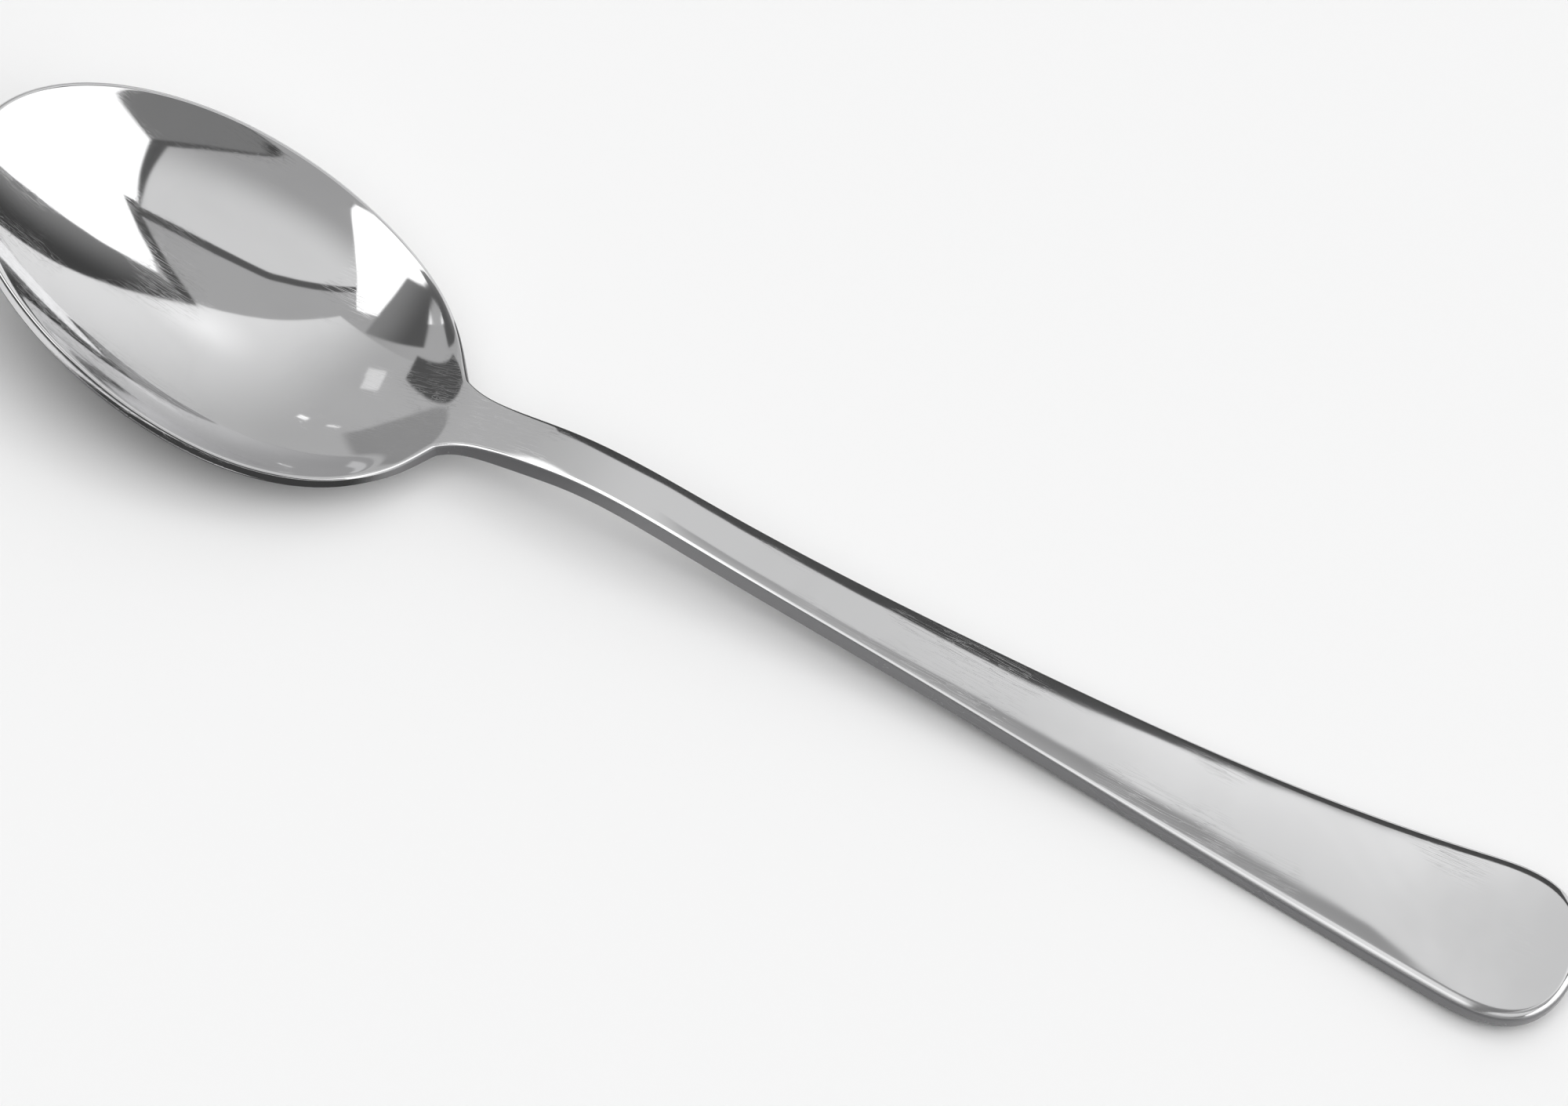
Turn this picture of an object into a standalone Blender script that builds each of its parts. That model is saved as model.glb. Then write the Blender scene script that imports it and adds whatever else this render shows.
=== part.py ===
"""Dessert spoon: bowl, neck and handle pressed from one strip of polished stainless steel.

Metres, +Z up. The spoon lies at rest on z = 0, with the bowl towards -X and the handle's end
towards +X. Lengths along the spoon are measured from the inside edge of the rim at the tip.
"""
import math

import bmesh
import bpy
import numpy as np

# Plan sizes
HOLLOW_LENGTH = 0.0548
HOLLOW_WIDTH = 0.0367
HANDLE_LENGTH = 0.1265
NECK_WIDTH = 0.0056
END_WIDTH = 0.0179
END_ROUND = 0.0135
NECK_SPREAD = 0.0017
NECK_SPREAD_REACH = 0.0021
NECK_CORNER = 0.0019
NECK_INSIDE = 0.0016

# Heights of the upper edge above the table, from the tip to the handle's end
TIP_HEIGHT = 0.0152
RIM_HEIGHT = 0.0101
DIP_HEIGHT = 0.0063
HEEL_HEIGHT = 0.0063
NECK_HEIGHT = 0.0085
FALL_HEIGHT = 0.0073
SHANK_HEIGHT = 0.0045
REST_HEIGHT = 0.0023
END_HEIGHT = 0.0037

# Where those heights are met: past the tip, around the heel and before the handle's end
RIM_PAST_TIP = 0.0240
DIP_BEFORE_HEEL = 0.0100
NECK_PAST_HEEL = 0.0122
FALL_PAST_HEEL = 0.0280
SHANK_PAST_HEEL = 0.0545
REST_BEFORE_END = 0.0165

# Section sizes
HOLLOW_DEPTH = 0.0070
BOWL_WALL = 0.0012
NECK_THICKNESS = 0.0027
END_THICKNESS = 0.0022
CROWN_HEIGHT = 0.0004
CROWN_WIDTH = 0.0050
EDGE_ROUND = 0.0005
REST_FLAT_DEPTH = 0.00015

# How far the wall takes to thicken ahead of the heel, the crown to rise past it, and the crown to
# die away again towards the handle's end
WALL_GROWTH = 0.0080
CROWN_GROWTH = 0.0200
CROWN_FADE = 0.0270

# Shape numbers without a unit: how egg-shaped the bowl is, how late the handle flares, how square
# its end is, how steep the hollow's wall is and how soft the hollow's edge is
BOWL_EGG = 0.045
FLARE_POWER = 2.1
END_POWER = 3.1
WALL_STEEPNESS = 0.30
RIM_SOFTNESS = 0.03
HEEL_SOFTNESS = 0.14

# Mesh density and working values
STATIONS = 80
STRIPS = 7
EDGE_SEGMENTS = 2
EDGE_ANGLE = math.radians(50.0)
OUTLINE_SAMPLES = 8001
TURN_LENGTH = 0.006
END_LEAN = 0.25
SEAM_MERGE = 0.00001
SETTLE_STEPS = 4

HEEL = HOLLOW_LENGTH
LENGTH = HOLLOW_LENGTH + HANDLE_LENGTH


def clear_scene():
    for item in list(bpy.data.objects):
        bpy.data.objects.remove(item, do_unlink=True)


def make_collection(name):
    collection = bpy.data.collections.new(name)
    bpy.context.scene.collection.children.link(collection)
    return collection


def steel_material():
    material = bpy.data.materials.new("polished_steel")
    material.use_nodes = True
    shader = material.node_tree.nodes["Principled BSDF"]
    shader.inputs["Base Color"].default_value = (0.72, 0.72, 0.73, 1.0)
    shader.inputs["Metallic"].default_value = 1.0
    shader.inputs["Roughness"].default_value = 0.08
    return material


def ease(x, start, end):
    """0 before start, 1 after end, and a smooth S between them."""
    share = np.clip((x - start) / (end - start), 0.0, 1.0)
    return share ** 3 * (share * (6.0 * share - 15.0) + 10.0)


def soft_above_zero(value, softness):
    """The value where it is positive and zero where it is negative, with a rounded corner."""
    return 0.5 * (value + np.sqrt(value ** 2 + softness ** 2))


def smooth_curve(places, heights, x):
    """Natural cubic spline through the given heights."""
    gap = np.diff(places)
    count = len(places)
    matrix = np.eye(count)
    right = np.zeros(count)
    slope = np.diff(heights) / gap
    for i in range(1, count - 1):
        matrix[i, i - 1:i + 2] = gap[i - 1], 2.0 * (gap[i - 1] + gap[i]), gap[i]
        right[i] = 6.0 * (slope[i] - slope[i - 1])
    bend = np.linalg.solve(matrix, right)
    i = np.clip(np.searchsorted(places, x) - 1, 0, count - 2)
    before = x - places[i]
    after = places[i + 1] - x
    cubic = (bend[i] * after ** 3 + bend[i + 1] * before ** 3) / (6.0 * gap[i])
    line_after = (heights[i] / gap[i] - bend[i] * gap[i] / 6.0) * after
    line_before = (heights[i + 1] / gap[i] - bend[i + 1] * gap[i] / 6.0) * before
    return cubic + line_after + line_before


def along_bowl(x):
    """-1 at the tip, 0 in the middle of the hollow, 1 at the heel."""
    return (2.0 * x - HOLLOW_LENGTH) / HOLLOW_LENGTH


def egg_half_width(x):
    """Half-width of the box that holds the bowl's oval, a little wider towards the heel."""
    return 0.5 * HOLLOW_WIDTH * (1.0 + BOWL_EGG * np.clip(along_bowl(x), -1.0, 1.0))


def bowl_half_width(x):
    """Half an oval over the hollow, and falling below zero past the heel."""
    inside = 1.0 - along_bowl(x) ** 2
    return egg_half_width(x) * np.sign(inside) * np.sqrt(np.abs(inside))


def shank_half_width(x):
    """Half-width of the handle before its corners are rounded: narrow neck, then a growing flare."""
    narrowest = HEEL + NECK_PAST_HEEL
    widest = LENGTH - END_ROUND
    flare = np.clip((x - narrowest) / (widest - narrowest), 0.0, None) ** FLARE_POWER
    return 0.5 * NECK_WIDTH + 0.5 * (END_WIDTH - NECK_WIDTH) * flare


def handle_half_width(x):
    """The shank, spread where it runs into the heel and rounded off at the handle's end.

    Inside the bowl the neck's outline falls away below zero, so that it plays no part there.
    """
    past_heel = soft_above_zero(x - HEEL + NECK_INSIDE, NECK_INSIDE) - NECK_INSIDE
    spread = NECK_SPREAD * np.exp(-past_heel / NECK_SPREAD_REACH)
    rounding = np.clip((x - LENGTH + END_ROUND) / END_ROUND, 0.0, 1.0)
    in_bowl = 1.0 - ease(x, HEEL - WALL_GROWTH, HEEL - 2.0 * NECK_INSIDE)
    full = shank_half_width(x) + spread
    return full * np.sqrt(1.0 - rounding ** END_POWER) - HOLLOW_WIDTH * in_bowl


def half_width(x):
    """The wider of bowl and handle, with a rounded inside corner where they meet."""
    bowl = bowl_half_width(x)
    handle = handle_half_width(x)
    share = np.clip(0.5 + 0.5 * (bowl - handle) / NECK_CORNER, 0.0, 1.0)
    return handle + (bowl - handle) * share + NECK_CORNER * share * (1.0 - share)


def outline(station):
    """Edge points from the tip (0) to the handle's end (1), and where each one's rib starts.

    The stations are even along the edge's length plus its turning. A rib starts on the centre line
    and meets the edge square to it; towards the handle's end it leans less.
    """
    angle = np.linspace(0.0, math.pi, OUTLINE_SAMPLES)
    x = 0.5 * LENGTH * (1.0 - np.cos(angle))
    width = half_width(x)
    heading = np.unwrap(np.arctan2(np.diff(width), np.diff(x)))
    step = np.hypot(np.diff(x), np.diff(width))
    turn = np.abs(np.diff(heading, append=heading[-1]))
    run = np.concatenate([[0.0], np.cumsum(step + TURN_LENGTH * turn)])
    lean = 1.0 + (END_LEAN - 1.0) * ease(x, HEEL + SHANK_PAST_HEEL, LENGTH - REST_BEFORE_END)
    centre = x + 0.5 * lean * np.gradient(width ** 2, x)
    place = station * run[-1]
    return np.interp(place, run, x), np.interp(place, run, width), np.interp(place, run, centre)


def edge_height(x):
    """Height of the upper edge above the table, tip to handle's end."""
    knots = np.array([
        (0.0, TIP_HEIGHT),
        (RIM_PAST_TIP, RIM_HEIGHT),
        (HEEL - DIP_BEFORE_HEEL, DIP_HEIGHT),
        (HEEL, HEEL_HEIGHT),
        (HEEL + NECK_PAST_HEEL, NECK_HEIGHT),
        (HEEL + FALL_PAST_HEEL, FALL_HEIGHT),
        (HEEL + SHANK_PAST_HEEL, SHANK_HEIGHT),
        (LENGTH - REST_BEFORE_END, REST_HEIGHT),
        (LENGTH, END_HEIGHT),
    ])
    return smooth_curve(knots[:, 0], knots[:, 1], x)


def hollow(x, y):
    """Depth of the bowl below its edge: a rounded dish that fades out over the heel."""
    inside = 1.0 - along_bowl(x) ** 2 - (y / egg_half_width(x)) ** 2
    softness = RIM_SOFTNESS + (HEEL_SOFTNESS - RIM_SOFTNESS) * ease(x, HEEL - WALL_GROWTH, HEEL)
    dish = soft_above_zero(inside, softness)
    return HOLLOW_DEPTH * dish * (1.0 + WALL_STEEPNESS * (1.0 - np.clip(dish, 0.0, 1.0)))


def crown_height(x):
    """How far the handle's middle stands above its edges: none in the bowl and at the end."""
    width = shank_half_width(x)
    present = ease(x, HEEL, HEEL + CROWN_GROWTH) * (1.0 - ease(x, LENGTH - CROWN_FADE, LENGTH))
    return CROWN_HEIGHT * width / (width + CROWN_WIDTH) * present


def thickness(x):
    """Thin bowl wall, thickest at the neck, thinner again towards the handle's end."""
    neck = HEEL + NECK_PAST_HEEL
    to_neck = (NECK_THICKNESS - BOWL_WALL) * ease(x, HEEL - WALL_GROWTH, neck)
    to_end = (END_THICKNESS - NECK_THICKNESS) * ease(x, neck, LENGTH - REST_BEFORE_END)
    return BOWL_WALL + to_neck + to_end


def upper_face(station, rib):
    """Points of one half of the upper face, and the thickness of steel under each."""
    edge_x, edge_y, centre = outline(station)
    x = centre + rib * (edge_x - centre)
    y = rib * edge_y
    rise = crown_height(x) * (1.0 - rib ** 2)
    z = edge_height(x) - hollow(x, y) + rise
    return np.stack([x, y, z], axis=1), thickness(x) + rise


def upper_face_mesh():
    """A flat grid bent into one half of the upper face: stations along it, ribs across it."""
    form = bmesh.new()
    bmesh.ops.create_grid(form, x_segments=STATIONS, y_segments=STRIPS, size=0.5)
    flat = np.array([corner.co for corner in form.verts])
    points, wall = upper_face(flat[:, 0] + 0.5, flat[:, 1] + 0.5)
    for corner, point in zip(form.verts, points):
        corner.co = point
    mesh = bpy.data.meshes.new("spoon")
    form.to_mesh(mesh)
    form.free()
    mesh.shade_smooth()
    return mesh, wall


def add_shell(spoon, wall):
    """Mirror the half, give it its thickness downwards and round both edges."""
    thickest = float(wall.max())
    group = spoon.vertex_groups.new(name="thickness")
    for i, share in enumerate(wall / thickest):
        group.add([i], float(share), "REPLACE")

    mirror = spoon.modifiers.new("other_half", "MIRROR")
    mirror.use_axis = (False, True, False)
    mirror.merge_threshold = SEAM_MERGE

    shell = spoon.modifiers.new("thickness", "SOLIDIFY")
    shell.thickness = thickest
    shell.offset = -1.0
    shell.vertex_group = group.name
    shell.thickness_vertex_group = 0.0

    rounding = spoon.modifiers.new("edge_round", "BEVEL")
    rounding.width = EDGE_ROUND
    rounding.segments = EDGE_SEGMENTS
    rounding.limit_method = "ANGLE"
    rounding.angle_limit = EDGE_ANGLE


def evaluated_points(item):
    """The object's points in world space, as its modifiers leave them."""
    bpy.context.view_layer.update()
    shape = item.evaluated_get(bpy.context.evaluated_depsgraph_get())
    mesh = shape.to_mesh()
    points = np.empty(3 * len(mesh.vertices))
    mesh.vertices.foreach_get("co", points)
    shape.to_mesh_clear()
    world = np.array(item.matrix_world)
    return points.reshape(-1, 3) @ world[:3, :3].T + world[:3, 3]


def lay_down(spoon):
    """Turn and lower the spoon until bowl and handle both lie just under z = 0, and centre it."""
    points = evaluated_points(spoon)
    tilt = 0.0
    for _ in range(SETTLE_STEPS):
        height = points[:, 2] * math.cos(tilt) - points[:, 0] * math.sin(tilt)
        in_bowl = points[:, 0] < HEEL
        bowl = np.where(in_bowl, height, np.inf).argmin()
        handle = np.where(in_bowl, np.inf, height).argmin()
        tilt += math.atan2(height[handle] - height[bowl], points[handle, 0] - points[bowl, 0])
    spoon.rotation_euler = (0.0, tilt, 0.0)
    points = evaluated_points(spoon)
    low = points.min(axis=0)
    high = points.max(axis=0)
    spoon.location = (-0.5 * (low[0] + high[0]), 0.0, -low[2] - REST_FLAT_DEPTH)


def cut_rests(spoon, cutters):
    """Take the lowest skin off bowl and handle, so that both rest on a true flat at z = 0."""
    form = bmesh.new()
    bmesh.ops.create_cube(form, size=2.0 * LENGTH)
    bmesh.ops.translate(form, verts=form.verts, vec=(0.0, 0.0, -LENGTH))
    mesh = bpy.data.meshes.new("table_cutter")
    form.to_mesh(mesh)
    form.free()
    cutter = bpy.data.objects.new("table_cutter", mesh)
    cutter.hide_render = True
    cutter.display_type = "WIRE"
    cutters.objects.link(cutter)
    cut = spoon.modifiers.new("rests", "BOOLEAN")
    cut.operation = "DIFFERENCE"
    cut.object = cutter


def main():
    clear_scene()
    parts = make_collection("Dessert spoon")
    cutters = make_collection("Cutters")
    mesh, wall = upper_face_mesh()
    mesh.materials.append(steel_material())
    spoon = bpy.data.objects.new("spoon", mesh)
    parts.objects.link(spoon)
    add_shell(spoon, wall)
    lay_down(spoon)
    cut_rests(spoon, cutters)


main()
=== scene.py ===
"""Dessert spoon in mirror-polished steel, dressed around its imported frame.

Metres, +Z up, in the frame's own axes: the bowl lies towards -X and the handle's end towards +X.
Lengths along the spoon are measured from the inside edge of the rim at the tip.
"""
import math

import bmesh
import bpy
import numpy as np
from mathutils import Matrix, Vector


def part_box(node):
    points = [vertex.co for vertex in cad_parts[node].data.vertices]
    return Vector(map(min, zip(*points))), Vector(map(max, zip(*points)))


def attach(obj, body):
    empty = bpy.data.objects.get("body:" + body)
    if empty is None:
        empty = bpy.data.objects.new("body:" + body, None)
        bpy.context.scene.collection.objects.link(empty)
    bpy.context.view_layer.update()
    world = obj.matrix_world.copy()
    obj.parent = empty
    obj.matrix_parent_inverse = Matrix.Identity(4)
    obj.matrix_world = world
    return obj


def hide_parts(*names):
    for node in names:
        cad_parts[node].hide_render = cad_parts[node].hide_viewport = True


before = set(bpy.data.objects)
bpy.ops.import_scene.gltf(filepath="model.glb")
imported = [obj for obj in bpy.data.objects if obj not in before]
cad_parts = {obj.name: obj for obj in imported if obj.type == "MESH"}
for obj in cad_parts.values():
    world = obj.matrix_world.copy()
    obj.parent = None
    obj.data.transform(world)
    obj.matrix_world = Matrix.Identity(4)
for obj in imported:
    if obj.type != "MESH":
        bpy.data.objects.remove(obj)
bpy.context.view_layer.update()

# Plan sizes
HOLLOW_LENGTH = 0.0548
HOLLOW_WIDTH = 0.0367
HANDLE_LENGTH = 0.1265
NECK_WIDTH = 0.0056
END_WIDTH = 0.0179
END_ROUND = 0.0135
NECK_SPREAD = 0.0017
NECK_SPREAD_REACH = 0.0021
NECK_CORNER = 0.0019
NECK_INSIDE = 0.0016

# Heights of the upper edge above the table, from the tip to the handle's end
TIP_HEIGHT = 0.0152
RIM_HEIGHT = 0.0101
DIP_HEIGHT = 0.0063
HEEL_HEIGHT = 0.0063
NECK_HEIGHT = 0.0085
FALL_HEIGHT = 0.0073
SHANK_HEIGHT = 0.0045
REST_HEIGHT = 0.0023
END_HEIGHT = 0.0037

# Where those heights are met: past the tip, around the heel and before the handle's end
RIM_PAST_TIP = 0.0240
DIP_BEFORE_HEEL = 0.0100
NECK_PAST_HEEL = 0.0122
FALL_PAST_HEEL = 0.0280
SHANK_PAST_HEEL = 0.0545
REST_BEFORE_END = 0.0165

# Section sizes
HOLLOW_DEPTH = 0.0070
BOWL_WALL = 0.0012
NECK_THICKNESS = 0.0027
END_THICKNESS = 0.0022
CROWN_HEIGHT = 0.0004
CROWN_WIDTH = 0.0050
RIM_ROUND = 0.00032
TIP_ROUND = 0.00055
TIP_ROUND_REACH = 0.0200
SHOULDER_ROUND = 0.00040
END_EDGE_DEPTH = 0.00080
END_EDGE_REACH = 0.00110
REST_FLAT_DEPTH = 0.00015
WALL_GROWTH = 0.0080
CROWN_GROWTH = 0.0200
CROWN_FADE = 0.0270

# Shape numbers without a unit
BOWL_EGG = 0.045
FLARE_POWER = 2.1
END_POWER = 3.1
WALL_STEEPNESS = 0.30
RIM_SOFTNESS = 0.03
HEEL_SOFTNESS = 0.14
END_LEAN = 0.25
FLANK_START = 0.2
FLANK_FULL = 0.5

# Mesh density and working values
STATIONS = 420
TOP_STRIPS = 44
ROUND_STRIPS = 8
UNDER_STRIPS = 30
OUTLINE_SAMPLES = 8001
TURN_LENGTH = 0.006
PARAMETER_STEP = 0.0005
CENTRE_MARGIN = 0.02
EDGE_FADE = 0.0008
SEAM_MERGE = 0.000001
SETTLE_STEPS = 4

# The steel's colours, roughness and relief, in metres where it is a depth
STEEL_COLOUR = (0.71, 0.71, 0.715, 1.0)
SMUDGE_COLOUR = (0.67, 0.67, 0.675, 1.0)
# Painted shade: the flank's dark grey stands in for the shaded floor that its steel would mirror.
FLANK_PAINTED_SHADE = (0.19, 0.19, 0.195, 1.0)
FLANK_METALLIC = 0.2
STEEL_ROUGHNESS = 0.040
SMUDGE_ROUGHNESS = 0.020
SCRATCH_ROUGHNESS = 0.05
EDGE_ROUGHNESS = 0.05
FLANK_ROUGHNESS = 0.16
WAVE_DEPTH = 0.000014
DENT_DEPTH = 0.00002
SCRATCH_DEPTH = 0.0000008

# Scales per metre of the steel's marks, and the noise levels or distances between which they show
WAVE_SCALE = 160.0
SMUDGE_SCALE = 55.0
SMUDGE_LEVELS = (0.42, 0.72)
SMUDGE_DETAIL = 4.0
SMUDGE_SWIRL = 0.6
DENT_SCALE = 38.0
DENT_EDGE = (0.002, 0.010)
PATCH_SCALE = 70.0
PATCH_LEVELS = (0.45, 0.62)
LONG_SCRATCHES = {"Turn": (0.0, 0.0, 0.06), "Stretch": (90.0, 2600.0, 900.0), "Fineness": 0.012}
CROSS_SCRATCHES = {"Turn": (0.0, 0.0, 0.9), "Stretch": (120.0, 3100.0, 900.0), "Fineness": 0.010}

# The photograph's camera
CAMERA_DISTANCE = 0.800
CAMERA_ELEVATION = 56.91
CAMERA_ROLL = 25.80
CAMERA_TARGET = (0.00025, 0.00281, 0.005)
PICTURE_WIDTH_AT_SPOON = 0.15856
SENSOR_WIDTH = 36.0

# The studio: a wide pale floor under one soft lamp
FLOOR_REACH = 8.0
FLOOR_COLOUR = (0.92, 0.92, 0.92, 1.0)
LAMP_HEIGHT = 2.0
LAMP_SIZE = 2.5
LAMP_POWER = 17.0

# A dark card stands behind the handle, higher and further back towards the handle's end. It is
# seen from the near side only, and it points at the bowl, which mirrors no more than its edge.
DARK_CARD_LEFT = (-0.0368, 0.0174, 0.0190)
DARK_CARD_SHOULDER = (-0.0326, 0.0206, 0.0362)
DARK_CARD_RIGHT = (0.115, 0.131, 0.175)
DARK_CARD_COLOUR = (0.07, 0.07, 0.07, 1.0)
DARK_CARD_ROUGHNESS = 0.9
SEAM_LEFT = (-0.130, 0.150, 0.010)
SEAM_RIGHT = (0.000, 0.150, 0.006)

# A mat of painted shade lies on the near side of the bowl, seen only in reflections: the bowl's outside
# mirrors it as shaded floor.
MAT_LEFT = -0.098
MAT_RIGHT = -0.012
MAT_NEAR = -0.160
MAT_FAR = 0.004
MAT_HEIGHT = 0.0002
MAT_FADE = 0.014
MAT_SHADE_LEVEL = 0.06

# A light hood hangs over the handle and points its lower edge at the bowl, which therefore does
# not mirror it. Its bands are bounded by ratios of the way back to the height above the table.
HOOD_AIM = -0.058
HOOD_SLOPE = 40.0
HOOD_LEFT = -0.036
HOOD_RIGHT = 0.095
HOOD_NECK_EDGE = 0.600
HOOD_FACE_EDGE = 0.790
HOOD_END_EDGE = 0.855
HOOD_NECK_STRIP = 0.417
HOOD_END_STRIP = 0.497
HOOD_WHITE = 0.310
HOOD_NEAR = -1.430
HOOD_SOFT_RATIO = 0.006
HOOD_SOFT_LEFT = 0.004
HOOD_MARGIN = 0.02

# Spans of x over which the hood's bands change, and how the far edge and the strip shift there
HOOD_NECK_TO_FACE = (HOOD_LEFT, 0.008)
HOOD_FACE_TO_END = (0.040, 0.070)
HOOD_LAST_EDGE = (0.073, 0.0785)
HOOD_LAST_EDGE_SHIFT = -0.060
HOOD_STRIP_SPAN = (0.005, 0.060)
HOOD_STRIP_START = (-0.006, 0.006)
HOOD_LAST_STRIP = (0.064, 0.073)
HOOD_LAST_STRIP_SHIFT = -0.020
HOOD_WHITE_STOP = (0.072, 0.079)
HOOD_WHITE_FADE = 0.04
HOOD_NECK_WHITE_OUT = (-0.034, -0.020)
HOOD_NECK_WHITE_BACK = (-0.012, 0.004)
HOOD_NECK_WHITE_SHIFT = 0.09

# The hood's light levels and strip softness, each from the first to the last x or ratio of its span
FACE_SPAN = (-0.045, -0.008)
FACE_LIGHT = (0.52, 0.78)
END_GLOW_RISE = (0.020, 0.066)
END_GLOW_FALL = (0.074, 0.081)
END_GLOW_RATIOS = (0.40, 0.90)
END_GLOW_LIGHT = (0.09, 0.31)
STRIP_LIGHT_SPAN = (0.010, 0.060)
STRIP_FAR_LIGHT = (0.45, 0.36)
STRIP_NEAR_LIGHT = (0.60, 0.25)
STRIP_SOFTENING = (0.030, 0.058)
STRIP_SOFTNESS = (0.006, 0.024)
STRIP_SHARPENING = (0.070, 0.074)
STRIP_SHARPER_BY = 0.017
WHITE_SPAN = (0.0, 0.020)
WHITE_LIGHT = (1.8, 1.3)
WHITE_DIM_RATIOS = (-1.2, -0.2)
WHITE_DIM_LIGHT = 0.4
OVERHEAD_RATIOS = (-0.28, -0.12)
OVERHEAD_SPAN = (-0.010, 0.015)
OVERHEAD_LIGHT = 1.0

# The light tent seen from the spoon, as light levels where 1 is white. Each panel's corners are
# azimuths in degrees from the far side round to the right, with elevations above the floor. Its
# light changes to its dim level over its reach inwards from the edge between its first two corners,
# or, where it has a slope, towards that direction. A panel with four corners repeats its first edge.
PANEL_EDGES = ("Edge 1", "Edge 2", "Edge 3", "Edge 4", "Edge 5")
DOME_TOP = 0.9
DOME_AT_HORIZON = 0.62
DOME_OVERHEAD = 0.50
PANELS = [
    {"light": 1.00, "dim": 0.57, "reach": 0.60, "softness": 0.006,
     "corners": [(29.6, 0), (31, 53), (-66, 80.5), (-75, 0)]},
    {"light": 1.25, "dim": 1.25, "reach": 1.00, "softness": 0.120,
     "corners": [(16, 44), (14, 54), (32, 56), (32, 42)]},
    {"light": 0.50, "dim": 0.50, "reach": 1.00, "softness": 0.005,
     "corners": [(31, 52.5), (-66, 80.5), (-130, 75.5), (68, 54)]},
    {"light": 0.08, "dim": 0.08, "reach": 1.00, "softness": 0.050,
     "corners": [(125, 0), (135, 36), (-140, 36), (-128, 0)]},
    {"light": 0.15, "dim": 0.15, "reach": 1.00, "softness": 0.030,
     "corners": [(-75, 0), (-78, 32), (-138, 32), (-140, 0)]},
    {"light": 1.70, "dim": 1.70, "reach": 1.00, "softness": 0.004,
     "corners": [(52, 0), (39, 51), (115, 46), (122, 0)]},
    {"light": 1.70, "dim": 1.70, "reach": 1.00, "softness": 0.004,
     "corners": [(-100, 76.3), (-177.5, 46.5), (-165, 30), (-100, 45.6)]},
    {"light": 0.30, "dim": 0.07, "reach": 0.25, "softness": 0.006,
     "corners": [(50, 0), (48.8, 27), (39, 51), (30.3, 53), (29.6, 0)]},
    {"light": 0.10, "dim": 0.10, "reach": 1.00, "softness": 0.006,
     "corners": [(30, 50.5), (73, 51.7), (73, 54.2), (30, 53)]},
    {"light": 0.25, "dim": 0.25, "reach": 1.00, "softness": 0.020,
     "corners": [(114, 48), (156, 46), (150, 24), (118, 24)]},
    {"light": 0.30, "dim": 0.12, "reach": 0.30, "softness": 0.012,
     "corners": [(-73, 70), (-104, 67.4), (-133, 51), (-120, 44), (-84, 46)]},
    {"light": 0.11, "dim": 0.11, "reach": 1.00, "softness": 0.012,
     "corners": [(-62, 44), (-78, 47), (-74, 30), (-56, 28)]},
    {"light": 0.36, "dim": 0.36, "reach": 1.00, "softness": 0.030,
     "corners": [(-25, 26), (-56, 28), (-56, 8), (-25, 8)]},
    {"light": 0.95, "dim": 0.95, "reach": 1.00, "softness": 0.012,
     "corners": [(-38, 50), (-50, 58), (-58, 52), (-46, 46)]},
    {"light": 1.50, "dim": 1.50, "reach": 1.00, "softness": 0.008,
     "corners": [(-12, 35), (-15, 34), (-14, 32), (-11, 33)]},
    {"light": 1.30, "dim": 1.30, "reach": 1.00, "softness": 0.008,
     "corners": [(-21, 31), (-25, 30), (-24, 29), (-20, 30)]},
    {"light": 0.12, "dim": 0.12, "reach": 1.00, "softness": 0.006,
     "corners": [(-129.8, 74.4), (58.7, 76.5), (65.2, 54.2), (115, 45), (176.5, 30)]},
    {"light": 0.46, "dim": 0.84, "slope": (22, 74), "start": 0.60, "reach": 0.26, "softness": 0.006,
     "corners": [(-137.8, 72.9), (70.7, 77.3), (71, 54.8), (119, 47), (176, 30)]},
]

HEEL = HOLLOW_LENGTH
LENGTH = HOLLOW_LENGTH + HANDLE_LENGTH


def ease(x, start, end):
    """0 before start, 1 after end, and the quintic S-curve 6s^5 - 15s^4 + 10s^3 between them."""
    share = np.clip((x - start) / (end - start), 0.0, 1.0)
    return share ** 3 * (share * (6.0 * share - 15.0) + 10.0)


def soft_above_zero(value, softness):
    """Half of the value plus the root of its square and the softness's: zero below, value above."""
    return 0.5 * (value + np.sqrt(value ** 2 + softness ** 2))


def smooth_curve(places, heights, x):
    """Natural cubic spline through the given heights."""
    gap = np.diff(places)
    slope = np.diff(heights) / gap
    count = len(places)
    matrix = np.eye(count)
    right = np.zeros(count)
    for i in range(1, count - 1):
        matrix[i, i - 1:i + 2] = gap[i - 1], 2.0 * (gap[i - 1] + gap[i]), gap[i]
        right[i] = 6.0 * (slope[i] - slope[i - 1])
    bend = np.linalg.solve(matrix, right)
    i = np.clip(np.searchsorted(places, x) - 1, 0, count - 2)
    before = x - places[i]
    after = places[i + 1] - x
    cubic = (bend[i] * after ** 3 + bend[i + 1] * before ** 3) / (6.0 * gap[i])
    line_after = (heights[i] / gap[i] - bend[i] * gap[i] / 6.0) * after
    line_before = (heights[i + 1] / gap[i] - bend[i + 1] * gap[i] / 6.0) * before
    return cubic + line_after + line_before


def along_bowl(x):
    """-1 at the tip, 0 in the middle of the hollow, 1 at the heel."""
    return (2.0 * x - HOLLOW_LENGTH) / HOLLOW_LENGTH


def egg_half_width(x):
    """Half-width of the box that holds the bowl's oval, growing evenly towards the heel."""
    return 0.5 * HOLLOW_WIDTH * (1.0 + BOWL_EGG * np.clip(along_bowl(x), -1.0, 1.0))


def bowl_half_width(x):
    """The oval's root of 1 - a^2 times the egg's half-width, falling below zero past the heel."""
    inside = 1.0 - along_bowl(x) ** 2
    return egg_half_width(x) * np.sign(inside) * np.sqrt(np.abs(inside))


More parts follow.
